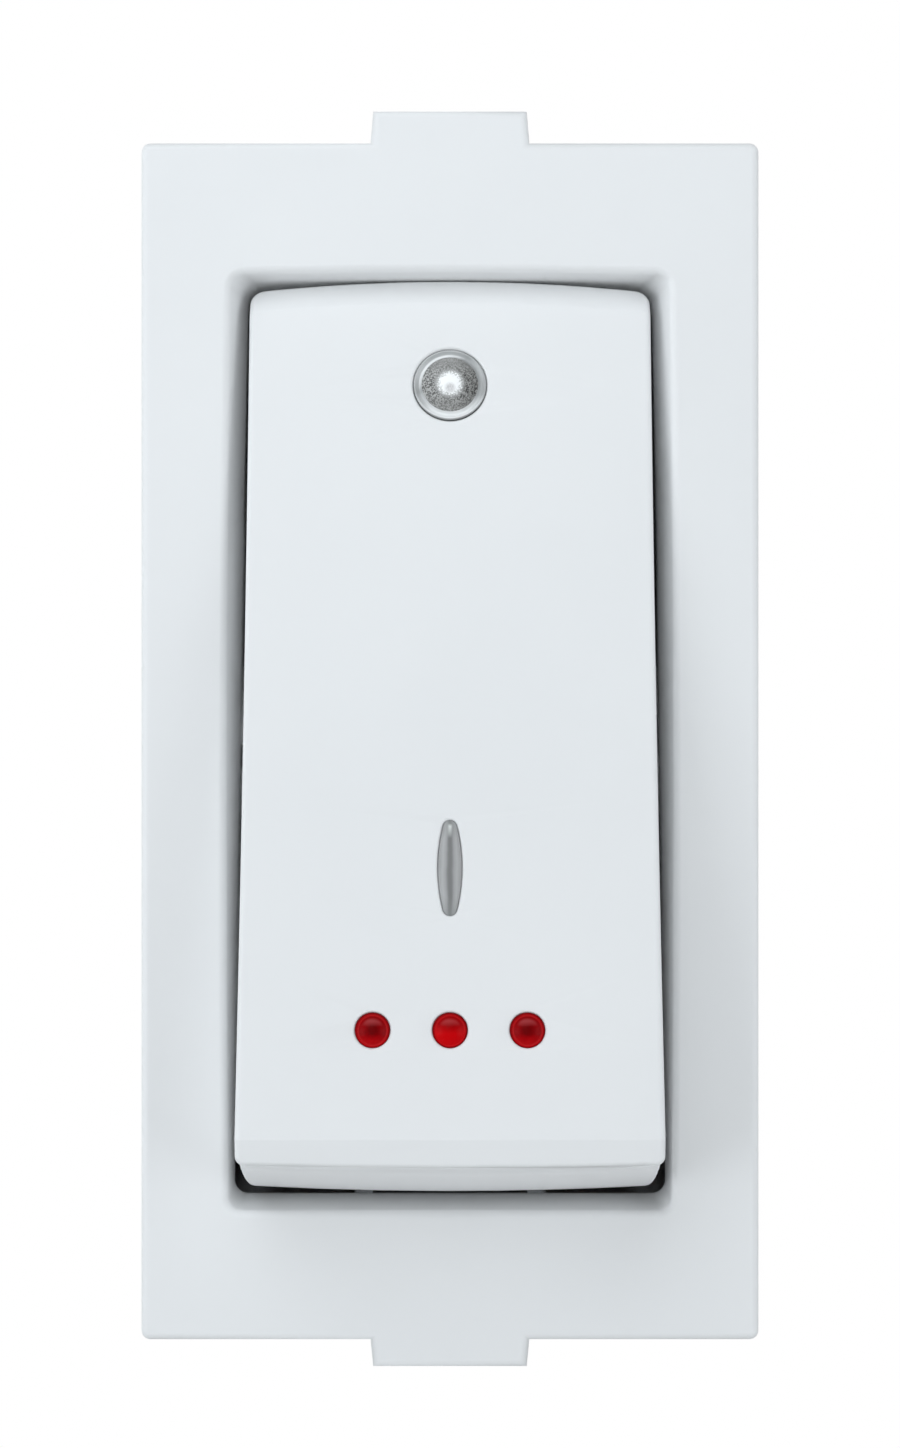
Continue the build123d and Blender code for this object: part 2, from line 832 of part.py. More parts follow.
def make_lamp():
    """The lamp's glass: a closed tube with a round nose and two lead holes in its base."""
    base_inside = lamp_back - lamp_base_thickness
    nose = lamp_start + lamp_radius
    glass = rod(lamp_radius, (0, nose, lamp_place), (0, lamp_back, lamp_place))
    glass += Pos(0, nose, lamp_place) * Sphere(lamp_radius)
    inside = lamp_radius - lamp_glass
    hollow = rod(inside, (0, nose, lamp_place), (0, base_inside, lamp_place))
    hollow += Pos(0, nose, lamp_place) * Sphere(inside)
    glass -= hollow
    for x in (-lead_spread, lead_spread):
        glass -= rod(lead_radius + seat_clearance, (x, base_inside, lamp_place), (x, lamp_back, lamp_place))
    return glass


def make_right_lead():
    """The lead from the lamp to the right fixed contact."""
    return tube(
        [
            (lead_spread, electrode_start, lamp_place),
            (lead_spread, landing_depth, lamp_place),
            (landing_side, landing_depth, contact_place + tip_radius + lead_side_gap),
        ],
        lead_radius,
        lead_bend,
    )


def make_left_lead():
    """The lead from the lamp to the resistor."""
    return tube(
        [
            (-lead_spread, electrode_start, lamp_place),
            (-lead_spread, lead_depth, lamp_place),
            (resistor_x, lead_depth, lamp_place - cup_outer - lead_bend),
            (resistor_x, lead_depth, resistor_end),
        ],
        lead_radius,
        lead_bend,
    )


def make_resistor_lead():
    """The lead from the resistor back to the left fixed contact."""
    turn = resistor_start - lead_run
    outside = resistor_x - resistor_radius - lead_overlap
    landing = contact_place - tip_radius - lead_radius
    return tube(
        [
            (resistor_x, lead_depth, resistor_start),
            (resistor_x, lead_depth, turn),
            (outside, lead_depth, turn),
            (outside, lead_depth, landing - lead_run),
            (-landing_side, landing_depth, landing),
        ],
        lead_radius,
        lead_bend,
    )


def make_resistor():
    """The lamp's series resistor."""
    return rod(
        resistor_radius, (resistor_x, lead_depth, resistor_start), (resistor_x, lead_depth, resistor_end)
    )


def all_pieces():
    """Every piece by its node name."""
    pieces = {
        "front_plate": make_front_plate(),
        "rear_housing": make_housing(),
        "rocker": seat_on_rocker(make_rocker()),
        "indicator_lens": seat_on_rocker(make_lens()),
        "light_pipe": seat_on_rocker(make_pipe()),
        "on_mark_insert": seat_on_rocker(make_mark()),
        "red_marker_strip": seat_on_rocker(make_dots()),
        "lamp_holder": make_lamp_holder(),
        "neon_lamp": make_lamp(),
        "lamp_lead_right": make_right_lead(),
        "lamp_lead_left": make_left_lead(),
        "resistor_lead": make_resistor_lead(),
        "ballast_resistor": make_resistor(),
    }
    for side, hand in ((-1, "left"), (1, "right")):
        pieces["plunger_" + hand] = seat_on_rocker(make_plunger(side))
        pieces["plunger_spring_" + hand] = seat_on_rocker(make_spring(side))
        pieces["moving_contact_" + hand] = seat_on_fulcrum(make_lever(side))
        pieces["moving_tip_" + hand] = seat_on_fulcrum(make_moving_tip(side))
        pieces["pivot_terminal_" + hand] = make_pivot_terminal(side)
        pieces["fixed_contact_" + hand] = make_fixed_contact(side)
        pieces["fixed_tip_" + hand] = make_fixed_tip(side)
        for end, level in ((1, "top"), (-1, "bottom")):
            place = level + "_" + hand
            pieces["terminal_block_" + place] = make_block(side, end)
            pieces["pressure_plate_" + place] = make_clamp(side, end)
            pieces["terminal_screw_" + place] = make_screw(side, end)
    return pieces


os.makedirs("parts", exist_ok=True)
for node, piece in all_pieces().items():
    export_step(piece, "parts/" + node + ".step")
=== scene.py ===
import math

import bmesh
import bpy
from mathutils import Matrix, Vector


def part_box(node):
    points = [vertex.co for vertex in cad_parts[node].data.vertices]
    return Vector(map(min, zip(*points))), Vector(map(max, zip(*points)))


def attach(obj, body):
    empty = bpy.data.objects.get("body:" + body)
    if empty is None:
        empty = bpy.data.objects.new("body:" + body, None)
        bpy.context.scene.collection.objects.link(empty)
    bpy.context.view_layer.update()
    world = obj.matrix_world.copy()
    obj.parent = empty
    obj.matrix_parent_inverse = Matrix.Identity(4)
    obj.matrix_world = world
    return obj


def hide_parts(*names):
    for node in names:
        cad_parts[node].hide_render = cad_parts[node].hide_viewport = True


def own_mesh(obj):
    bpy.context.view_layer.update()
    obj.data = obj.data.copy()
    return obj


# One module of a wall switch, seen square from the front, in its off position.
# X runs right, Y into the wall and Z up. Sizes with mm after them are millimetres.
mm = 0.001
plate_face = -3 * mm

# The rocker turns about a pivot behind the plate's seat. Its face is hollow along its length.
pivot_depth = 1.2 * mm
rocker_tilt = math.radians(11)
face_reach = 6.1 * mm
face_hollow = 0.5 * mm
face_half_length = 15.05 * mm

# The lens, the on mark and the red dots, with their heights above the middle of that face.
lens_place = 12.0 * mm
window_radius = 1.03 * mm
mark_place = -5.68 * mm
mark_half_length = 1.685 * mm
mark_half_width = 0.425 * mm
dot_place = -11.34 * mm
dot_pitch = 2.67 * mm
dot_radius = 0.59 * mm

# The two poles lie this far left and right of the middle.
pole_offset = 4.6 * mm

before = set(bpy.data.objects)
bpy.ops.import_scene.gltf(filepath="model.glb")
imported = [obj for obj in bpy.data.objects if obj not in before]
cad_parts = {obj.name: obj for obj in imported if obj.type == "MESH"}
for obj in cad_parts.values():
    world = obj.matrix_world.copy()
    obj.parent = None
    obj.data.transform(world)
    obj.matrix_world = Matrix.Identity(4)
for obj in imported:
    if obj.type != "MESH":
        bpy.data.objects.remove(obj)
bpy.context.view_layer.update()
on_the_rocker = Matrix.Translation((0, pivot_depth, 0)) @ Matrix.Rotation(-rocker_tilt, 4, "X")
towards_viewer = Matrix.Rotation(math.pi / 2, 4, "X")


def face_at(height):
    """How far the rocker's hollow face stands in front of the pivot, at a height on it."""
    return face_reach + face_hollow * (height / face_half_length) ** 2


def out_of_face(height, side=0.0):
    """A place on the rocker's face whose Z axis points out of it."""
    return on_the_rocker @ Matrix.Translation((side, -face_at(height), height)) @ towards_viewer


# Finishes


class Finish:
    """A material being built, with short ways to add the nodes that it needs."""

    def __init__(self, name, roughness=0.4, metallic=0.0, ior=1.5):
        self.material = bpy.data.materials.new(name)
        self.material.use_nodes = True
        self.nodes = self.material.node_tree.nodes
        self.links = self.material.node_tree.links
        self.shader = self.nodes["Principled BSDF"]
        self.set("Roughness", roughness)
        self.set("Metallic", metallic)
        self.set("IOR", ior)
        self.place = self.nodes.new("ShaderNodeTexCoord").outputs["Object"]

    def feed(self, socket, value):
        """Links a socket, or sets its own value. A colour is given without its alpha."""
        if isinstance(value, bpy.types.NodeSocket):
            self.links.new(value, socket)
        elif socket.type == "RGBA":
            socket.default_value = (*value, 1.0)
        else:
            socket.default_value = value

    def set(self, socket, value):
        """Gives the shader one of its values."""
        self.feed(self.shader.inputs[socket], value)

    def node(self, kind, *values):
        """A node whose first inputs get these values."""
        made = self.nodes.new(kind)
        for socket, value in zip(made.inputs, values):
            self.feed(socket, value)
        return made

    def seen_from(self, location=(0, 0, 0), rotation=(0, 0, 0), scale=(1, 1, 1)):
        """The part's coordinates about another point, in another direction or scale."""
        node = self.nodes.new("ShaderNodeMapping")
        node.vector_type = "TEXTURE"
        settings = {"Vector": self.place, "Location": location, "Rotation": rotation, "Scale": scale}
        for name, value in settings.items():
            self.feed(node.inputs[name], value)
        return node.outputs["Vector"]

    def on_rocker(self, height, side=0.0, across=1.0):
        """The rocker's own coordinates about a point on its face, stretched across it if asked."""
        spot = out_of_face(height, side).translation
        return self.seen_from(location=spot, rotation=(-rocker_tilt, 0, 0), scale=(across, 1, 1))

    def clouds(self, size, detail, place=None, distortion=0.0):
        """Cloudy noise whose blotches are about this size."""
        node = self.nodes.new("ShaderNodeTexNoise")
        self.feed(node.inputs["Vector"], place or self.place)
        for name, value in (("Scale", 1 / size), ("Detail", detail), ("Distortion", distortion)):
            self.feed(node.inputs[name], value)
        return node.outputs["Fac"]

    def cells(self, size):
        """Distance from the middle of cells of about this size."""
        node = self.nodes.new("ShaderNodeTexVoronoi")
        self.feed(node.inputs["Vector"], self.place)
        self.feed(node.inputs["Scale"], 1 / size)
        return node.outputs["Distance"]

    def ramp(self, value, *stops):
        """Colours along a value. Each stop is a position and a colour, or a grey."""
        node = self.node("ShaderNodeValToRGB", value)
        points = node.color_ramp.elements
        while len(points) < len(stops):
            points.new(1.0)
        for point, (position, colour) in zip(points, stops):
            point.position = position
            point.color = (colour, colour, colour, 1) if isinstance(colour, float) else (*colour, 1)
        return node.outputs["Color"]

    def mottled(self, size, detail, shade, light, place=None):
        """Two near colours in cloudy blotches of about this size."""
        return self.ramp(self.clouds(size, detail, place), (0.3, shade), (0.7, light))

    def work_out(self, operation, *values):
        """The result of one calculation, such as ADD or SQRT."""
        node = self.node("ShaderNodeMath", *values)
        node.operation = operation
        return node.outputs["Value"]

    def product(self, value, *others):
        """Several values multiplied together."""
        for other in others:
            value = self.work_out("MULTIPLY", value, other)
        return value

    def spread(self, value, low, high, to_low, to_high):
        """A value moved from one range to another, and kept inside it."""
        return self.node("ShaderNodeMapRange", value, low, high, to_low, to_high).outputs["Result"]

    def over(self, share, under, upper):
        """One colour laid over another by a share."""
        node = self.nodes.new("ShaderNodeMix")
        node.data_type = "RGBA"
        # Its sockets' names repeat, so the share and the two colours are found by number.
        for index, value in ((0, share), (6, under), (7, upper)):
            self.feed(node.inputs[index], value)
        return node.outputs[2]

    def axes(self, vector):
        """The three coordinates of a vector."""
        return self.node("ShaderNodeSeparateXYZ", vector).outputs

    def off_axis(self, vector):
        """Distance from the vector's own Y axis."""
        side, _, height = self.axes(vector)
        squares = self.product(side, side), self.product(height, height)
        return self.work_out("SQRT", self.work_out("ADD", *squares))

    def relief(self, height, depth):
        """Fine relief of this depth, over any relief already there."""
        node = self.nodes.new("ShaderNodeBump")
        self.feed(node.inputs["Height"], height)
        self.feed(node.inputs["Distance"], depth)
        normal = self.shader.inputs["Normal"]
        if normal.links:
            self.links.new(normal.links[0].from_socket, node.inputs["Normal"])
        self.links.new(node.outputs["Normal"], normal)


def white_moulding(name, roughness, gloss, shift):
    """Satin white plastic with faint flow clouds and the fine skin of its mould."""
    finish = Finish(name, ior=1.47)
    finish.set("Specular IOR Level", gloss)
    moved = finish.seen_from(location=(shift, 0, 0))
    flow = finish.mottled(9 * mm, 2, (0.825, 0.83, 0.833), (0.845, 0.85, 0.852), moved)
    finish.set("Base Color", flow)
    sheen = finish.clouds(2.5 * mm, 1)
    finish.set("Roughness", finish.spread(sheen, 0.2, 0.8, roughness - 0.01, roughness + 0.01))
    finish.relief(finish.clouds(0.3 * mm, 1), 0.0003 * mm)
    finish.relief(finish.clouds(6 * mm, 1), 0.002 * mm)
    return finish.material


def grey_moulding():
    """Matt grey glass-filled plastic with a spark-eroded skin and short fibres."""
    finish = Finish("housing_moulding")
    base = finish.mottled(7 * mm, 2, (0.515, 0.525, 0.545), (0.545, 0.555, 0.575))
    fibre = finish.clouds(0.35 * mm, 2, finish.seen_from(scale=(1, 1, 5)), 1.5)
    pale = finish.spread(fibre, 0.58, 0.72, 0.0, 0.3)
    finish.set("Base Color", finish.over(pale, base, (0.66, 0.67, 0.68)))
    finish.set("Roughness", finish.spread(fibre, 0.3, 0.7, 0.5, 0.64))
    finish.relief(finish.cells(0.2 * mm), 0.01 * mm)
    finish.relief(finish.clouds(0.08 * mm, 2), 0.006 * mm)
    return finish.material


def acetal():
    """Creamy slippery plastic with fine turning lines, for the plungers and the lamp's holder."""
    finish = Finish("acetal", roughness=0.34, ior=1.48)
    finish.set("Base Color", finish.mottled(2 * mm, 3, (0.70, 0.68, 0.60), (0.77, 0.75, 0.67)))
    finish.set("Subsurface Weight", 0.12)
    finish.set("Subsurface Radius", (0.4 * mm, 0.35 * mm, 0.25 * mm))
    finish.relief(finish.clouds(0.15 * mm, 2, finish.seen_from(scale=(4, 0.4, 4))), 0.003 * mm)
    return finish.material


def frosted_window():
    """The middle of the lens: a grainy grey diffuser under a clear skin, with painted shade towards its
    right side and painted light in its heart, brightest in a painted highlight just below the middle.
    """
    finish = Finish("frosted_window", roughness=0.32, ior=1.49)
    finish.set("Specular IOR Level", 0.3)
    local = finish.on_rocker(lens_place)
    radius = finish.off_axis(local)
    side, _, height = finish.axes(local)
    grain = finish.clouds(0.055 * mm, 1, local, 0.6)
    ripples = finish.clouds(0.06 * mm, 2, finish.on_rocker(lens_place, across=4.0))

    specks = finish.ramp(grain, (0.40, (0.045, 0.045, 0.043)), (0.60, (0.42, 0.42, 0.41)))
    shaded = finish.ramp(grain, (0.36, (0.03, 0.03, 0.03)), (0.64, (0.22, 0.22, 0.21)))
    smooth = finish.ramp(ripples, (0.35, (0.19, 0.19, 0.185)), (0.65, (0.30, 0.30, 0.29)))
    # Painted shade: the grain turns darker towards the window's right side.
    grey = finish.over(finish.spread(side, 0.15 * mm, 0.85 * mm, 0.0, 0.8), specks, shaded)
    grey = finish.over(finish.spread(height, 0.3 * mm, 0.8 * mm, 0.0, 0.75), grey, smooth)
    grey = finish.over(finish.spread(height, -0.4 * mm, -0.8 * mm, 0.0, 0.5), grey, smooth)

    # Painted light: a paler heart in the middle of the window, with a near-white painted highlight just
    # below the middle.
    ragged = finish.work_out("ADD", radius, finish.spread(grain, 0.35, 0.65, -0.09 * mm, 0.09 * mm))
    heart = finish.spread(ragged, 0.34 * mm, 0.52 * mm, 1.0, 0.0)
    off_painted_highlight = finish.off_axis(finish.on_rocker(lens_place - 0.17 * mm))
    painted_highlight_core = finish.spread(off_painted_highlight, 0.1 * mm, 0.24 * mm, 0.9, 0.0)
    painted_highlight_core = finish.product(painted_highlight_core, finish.spread(grain, 0.3, 0.7, 1.0, 0.5))
    painted_heart_light = finish.over(painted_highlight_core, (0.97, 0.98, 0.98), (0.50, 0.49, 0.49))
    finish.set("Base Color", finish.over(heart, grey, painted_heart_light))

    finish.set("Coat Weight", 0.25)
    finish.set("Coat Roughness", 0.12)
    finish.relief(grain, 0.005 * mm)
    return finish.material


def clear_collar():
    """The lens's clear shoulder, with light and shade painted into its colour: painted light low in it, a
    painted highlight along its inner edge at the top, and a painted shadow round its rim.
    """
    finish = Finish("clear_collar", roughness=0.2, ior=1.49)
    local = finish.on_rocker(lens_place)
    side, _, height = finish.axes(local)
    radius = finish.off_axis(local)
    wander = finish.spread(finish.clouds(0.5 * mm, 2, local), 0.25, 0.75, -0.12 * mm, 0.12 * mm)
    level = finish.work_out("ADD", height, wander)
    # Painted light, gathered low in the collar.
    low = finish.spread(level, -0.35 * mm, -1.0 * mm, 0.0, 1.0)
    # Painted highlight along the collar's inner edge, high on the left.
    slanted = finish.work_out("SUBTRACT", level, finish.product(side, 0.7))
    inner = finish.spread(radius, 1.12 * mm, 1.17 * mm, 1.0, 0.15)
    high = finish.product(finish.spread(slanted, 0.55 * mm, 1.15 * mm, 0.0, 0.95), inner)
    # Painted shadow round the collar's rim, deepest at the bottom.
    rim = finish.spread(radius, 1.28 * mm, 1.32 * mm, 0.0, 1.0)
    painted_rim_shadow = finish.product(rim, finish.spread(height, 0.0, -1.0 * mm, 0.05, 0.75))

    tone = finish.over(low, (0.36, 0.37, 0.37), (0.80, 0.81, 0.81))
    tone = finish.over(high, tone, (0.86, 0.87, 0.87))
    finish.set("Base Color", finish.over(painted_rim_shadow, tone, (0.16, 0.165, 0.165)))
    finish.set("Coat Weight", 0.3)
    finish.set("Coat Roughness", 0.06)
    return finish.material


def frosted_guide():
    """The light guide's satin rod, with fine flow lines along it."""
    finish = Finish("frosted_guide", roughness=0.42, ior=1.49)
    lines = finish.clouds(0.1 * mm, 3, finish.seen_from(scale=(1, 8, 1)))
    finish.set("Base Color", finish.ramp(lines, (0.3, (0.62, 0.63, 0.62)), (0.7, (0.74, 0.75, 0.74))))
    finish.set("Subsurface Weight", 0.2)
    finish.set("Subsurface Radius", (0.5 * mm, 0.5 * mm, 0.45 * mm))
    finish.relief(lines, 0.003 * mm)
    return finish.material


def smoked_inlay():
    """Grey translucent plastic with painted light and shade: painted shade along its middle and its rim,
    painted light in two paler bands between, and a painted highlight near its top.
    """
    finish = Finish("smoked_inlay", roughness=0.34, ior=1.49)
    finish.set("Specular IOR Level", 0.25)
    local = finish.on_rocker(mark_place)
    side, _, height = finish.axes(local)
    shaded_length, narrowing = 1.67 * mm, 0.2 * mm
    along = finish.work_out("DIVIDE", height, shaded_length)
    width = finish.work_out("SUBTRACT", mark_half_width, finish.product(along, along, narrowing))
    wander = finish.spread(finish.clouds(0.9 * mm, 2, local), 0.2, 0.8, -0.08, 0.08)
    across = finish.work_out("ADD", finish.work_out("DIVIDE", side, width), wander)

    # Painted light and shade across the crowned inlay: painted shade along the middle and the rim, painted
    # light in the two bands between.
    bands = (0.0, 0.20), (0.14, 0.215), (0.36, 0.37), (0.6, 0.44), (0.85, 0.36), (1.0, 0.30)
    # Painted shade towards the ends.
    ends = finish.spread(finish.work_out("ABSOLUTE", along), 0.6, 0.95, 0.0, 0.55)
    tone = finish.ramp(finish.work_out("ABSOLUTE", across), *bands)
    tone = finish.over(ends, tone, (0.27, 0.28, 0.275))
    # Painted highlight: a narrow pale streak near the inlay's top.
    painted_glint = finish.product(
        finish.spread(along, 0.62, 0.86, 0.0, 1.0),
        finish.spread(along, 0.88, 0.94, 1.0, 0.0),
        finish.spread(finish.work_out("ABSOLUTE", side), 0.03 * mm, 0.1 * mm, 0.9, 0.0),
    )
    finish.set("Base Color", finish.over(painted_glint, tone, (0.66, 0.68, 0.66)))
    finish.relief(finish.clouds(0.4 * mm, 2, local), 0.003 * mm)
    return finish.material


def red_jewel():
    """Deep red translucent plastic with painted light and shade: painted shade in each dome's heart and at
    its rim, a painted highlight ring inside the rim, a painted reflection high in each dome, and painted
    light gathered low in each dome.
    """
    finish = Finish("red_jewel", roughness=0.3, ior=1.5)
    finish.set("Specular IOR Level", 0.04)
    rim_radius = 0.6 * mm
    spots = [finish.on_rocker(dot_place, side) for side in (-dot_pitch, 0, dot_pitch)]
    left, middle, right = [finish.off_axis(spot) for spot in spots]
    radius = finish.work_out("MINIMUM", finish.work_out("MINIMUM", left, middle), right)
    outward = finish.work_out("DIVIDE", radius, rim_radius)
    height = finish.work_out("DIVIDE", finish.axes(spots[1])[2], rim_radius)
    wander = finish.spread(finish.clouds(0.25 * mm, 2), 0.2, 0.8, -0.12, 0.12)

    # Painted shade: each dome darker in its heart.
    heart = finish.spread(finish.work_out("ADD", outward, wander), 0.2, 0.55, 1.0, 0.0)
    body = finish.over(heart, (0.27, 0.0, 0.002), (0.15, 0.0, 0.001))
    # Painted light gathered low in each dome.
    painted_low_light = finish.spread(finish.work_out("ADD", height, wander), -0.25, -0.65, 0.0, 1.0)
    body = finish.over(painted_low_light, body, (0.44, 0.002, 0.004))
    # Painted reflection: greyish pink high in each dome.
    inside = finish.spread(radius, 0.34 * mm, 0.43 * mm, 0.6, 0.0)
    painted_reflection = finish.product(finish.spread(height, 0.2, 0.5, 0.0, 1.0), inside)
    body = finish.over(painted_reflection, body, (0.40, 0.06, 0.065))
    # Painted highlight: a paler ring just inside the rim.
    painted_highlight_ring = finish.ramp(outward, (0.0, 0.0), (0.76, 0.0), (0.83, 0.8), (0.87, 0.8), (0.92, 0.0))
    body = finish.over(painted_highlight_ring, body, (0.50, 0.012, 0.014))
    # Painted shade: a darker line at the rim.
    edge = finish.spread(radius, 0.55 * mm, rim_radius, 0.0, 0.85)
    body = finish.over(edge, body, (0.20, 0.001, 0.003))

    # Painted light: the middle dome is the brightest of the three, most of all low in it.
    in_middle = finish.spread(middle, 0.5 * mm, 0.56 * mm, 1.0, 0.0)
    painted_middle_light = finish.product(in_middle, finish.spread(height, 0.35, -0.2, 0.2, 0.9))
    finish.set("Base Color", finish.over(painted_middle_light, body, (0.60, 0.001, 0.003)))
    finish.relief(finish.clouds(0.3 * mm, 2), 0.001 * mm)
    return finish.material


def metal(name, pale, deep, roughness, brushed, stains):
    """Bright metal with brushing along one axis, cloudy tarnish and fine pits."""
    finish = Finish(name, metallic=1.0)
    tone = finish.mottled(1.6 * mm, 4, deep, pale)
    lines = finish.clouds(0.06 * mm, 3, finish.seen_from(scale=brushed))
    finish.set("Base Color", finish.over(finish.spread(lines, 0.35, 0.65, 0.0, 0.22), tone, deep))
    sheen = finish.spread(lines, 0.3, 0.7, roughness - 0.07, roughness + 0.1)
    spots = finish.spread(finish.clouds(0.7 * mm, 5), 0.5, 0.75, 0.0, stains)
    finish.set("Roughness", finish.work_out("ADD", sheen, spots))
    finish.relief(lines, 0.0012 * mm)
    finish.relief(finish.cells(0.12 * mm), 0.0015 * mm)
    return finish.material


def thin_glass():
    """Lamp glass, a little warm, with seeds and waves."""
    finish = Finish("lamp_glass", roughness=0.03, ior=1.5)
    waves = finish.clouds(2 * mm, 2)
    finish.set("Base Color", finish.ramp(waves, (0.2, (0.98, 0.95, 0.92)), (0.8, (1.0, 0.99, 0.97))))
    finish.set("Transmission Weight", 1.0)
    finish.relief(finish.clouds(1.0 * mm, 2), 0.004 * mm)
    return finish.material


def resistor_enamel(axis_place):
    """Sand-coloured enamel with four painted rings."""
    finish = Finish("resistor_enamel", roughness=0.3)
    height = finish.axes(finish.seen_from(location=axis_place))[2]
    tone = finish.mottled(0.6 * mm, 3, (0.55, 0.42, 0.24), (0.64, 0.50, 0.30))
    for middle, colour in (
        (1.15 * mm, (0.16, 0.05, 0.30)),
        (0.55 * mm, (0.28, 0.09, 0.02)),
        (-0.05 * mm, (0.72, 0.55, 0.02)),
        (-1.1 * mm, (0.50, 0.36, 0.12)),
    ):
        off = finish.work_out("ABSOLUTE", finish.work_out("SUBTRACT", height, middle))
        tone = finish.over(finish.spread(off, 0.15 * mm, 0.18 * mm, 1.0, 0.0), tone, colour)
    finish.set("Base Color", tone)
    finish.relief(finish.clouds(0.3 * mm, 3), 0.008 * mm)
    return finish.material


plate_white = white_moulding("plate_moulding", 0.36, 0.16, 0.0)
rocker_white = white_moulding("rocker_moulding", 0.32, 0.15, 50 * mm)
housing_grey = grey_moulding()
plunger_cream = acetal()
window_frost = frosted_window()
collar_clear = clear_collar()
guide_frost = frosted_guide()
mark_smoke = smoked_inlay()
jewel_red = red_jewel()
copper = metal("contact_copper", (0.86, 0.50, 0.34), (0.62, 0.30, 0.18), 0.3, (1, 1, 14), 0.12)
silver = metal("contact_silver", (0.88, 0.87, 0.84), (0.72, 0.70, 0.66), 0.24, (1, 1, 1), 0.15)
brass = metal("terminal_brass", (0.80, 0.62, 0.30), (0.60, 0.42, 0.16), 0.28, (14, 1, 1), 0.12)
zinc = metal("zinc_steel", (0.74, 0.75, 0.76), (0.55, 0.56, 0.58), 0.3, (1, 10, 1), 0.14)
wire_steel = metal("spring_steel", (0.60, 0.60, 0.61), (0.42, 0.42, 0.43), 0.26, (1, 8, 1), 0.1)
tinned = metal("tinned_wire", (0.78, 0.78, 0.77), (0.60, 0.60, 0.60), 0.36, (1, 8, 1), 0.1)
glass = thin_glass()


# Pieces and their meshes


def placed(name, data):
    """A new object in the scene that holds this mesh, curve, lamp or camera."""
    piece = bpy.data.objects.new(name, data)
    bpy.context.scene.collection.objects.link(piece)
    return piece


def stand_in(name, mesh, body, slot, material, *nodes):
    """Puts a finished mesh on its body, in place of the nodes that it stands for."""
    piece = placed(name, mesh)
    mesh.materials.clear()
    mesh.materials.append(material)
    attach(piece, body)
    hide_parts(*nodes)
    return piece


def finished(piece):
    """The piece's mesh with its modifiers worked in. The piece itself goes."""
    view = bpy.context.evaluated_depsgraph_get()
    mesh = bpy.data.meshes.new_from_object(piece.evaluated_get(view), depsgraph=view)
    old = piece.data
    bpy.data.objects.remove(piece)
    if old.users == 0:
        bpy.data.meshes.remove(old)
    return mesh


def shade_smooth(mesh, angle):
    """Smooth shading everywhere but across edges sharper than this angle."""
    for polygon in mesh.polygons:
        polygon.use_smooth = True
    mesh.set_sharp_from_angle(angle=math.radians(angle))


def soften(mesh, edge=0.0, angle=40.0):
    """Smooth shading, and edges eased by a small radius where one is given, as one plain mesh."""
    piece = placed("being_softened", mesh)
    if edge:
        bevel = piece.modifiers.new("eased_edges", "BEVEL")
        bevel.width = edge
        bevel.segments = 2
        bevel.limit_method = "ANGLE"
        bevel.angle_limit = math.radians(angle)
        bevel.use_clamp_overlap = True
    shade_smooth(mesh, 180 if edge else angle)
    normals = piece.modifiers.new("flat_faces_stay_flat", "WEIGHTED_NORMAL")
    normals.keep_sharp = True
    normals.weight = 90
    return finished(piece)


def written(work, mesh):
    """Writes what was being worked on into a mesh, and gives that mesh back."""
    work.to_mesh(mesh)
    work.free()
    return mesh


def cleaned(mesh, gap, flat=0.0):
    """The same mesh, with points this near made one, and faces joined that lie this flat, in degrees."""
    work = bmesh.new()
    work.from_mesh(mesh)
    bmesh.ops.remove_doubles(work, verts=work.verts, dist=gap)
    if flat:
        bmesh.ops.dissolve_limit(
            work, angle_limit=math.radians(flat), verts=work.verts, edges=work.edges,
            use_dissolve_boundaries=False,
        )
    return written(work, mesh)


def eased(node, body, slot, material, edge=0.0):
    """Puts a node's own shape in its place, with smooth curves and, where asked, eased edges."""
    mesh = cleaned(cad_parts[node].data.copy(), 0.0005 * mm, flat=0.05)
    stand_in(node + "_finished", soften(mesh, edge), body, slot, material, node)


def circle(steps):
    """Points round a circle of radius one."""
    turns = [2 * math.pi * step / steps for step in range(steps)]
    return [(math.cos(turn), math.sin(turn)) for turn in turns]


def turned(profile, place, around=96):
    """A turned solid. Its profile of (radius, height) points starts and ends on the place's Z axis."""
    work = bmesh.new()
    rings = []
    for radius, height in profile:
        points = circle(around) if radius else [(0, 0)]
        rings.append([work.verts.new((radius * x, radius * y, height)) for x, y in points])
    for lower, upper in zip(rings, rings[1:]):
        for step in range(around):
            following = (step + 1) % around
            corners = [lower[step % len(lower)], lower[following % len(lower)]]
            corners += [upper[following % len(upper)], upper[step % len(upper)]]
            work.faces.new(list(dict.fromkeys(corners)))
    bmesh.ops.recalc_face_normals(work, faces=work.faces)
    work.transform(place)
    return written(work, bpy.data.meshes.new("turned"))


def cuboid(size, rounding=0.0):
    """A box about the origin, with rounded edges if asked."""
    work = bmesh.new()
    bmesh.ops.create_cube(work, size=1)
    bmesh.ops.scale(work, vec=size, verts=work.verts)
    if rounding:
        bmesh.ops.bevel(work, geom=work.edges, offset=rounding, segments=3, affect="EDGES", profile=0.5)
    return written(work, bpy.data.meshes.new("cuboid"))


def together(meshes):
    """Several meshes as one."""
    work = bmesh.new()
    for mesh in meshes:
        work.from_mesh(mesh)
    return written(work, bpy.data.meshes.new("together"))


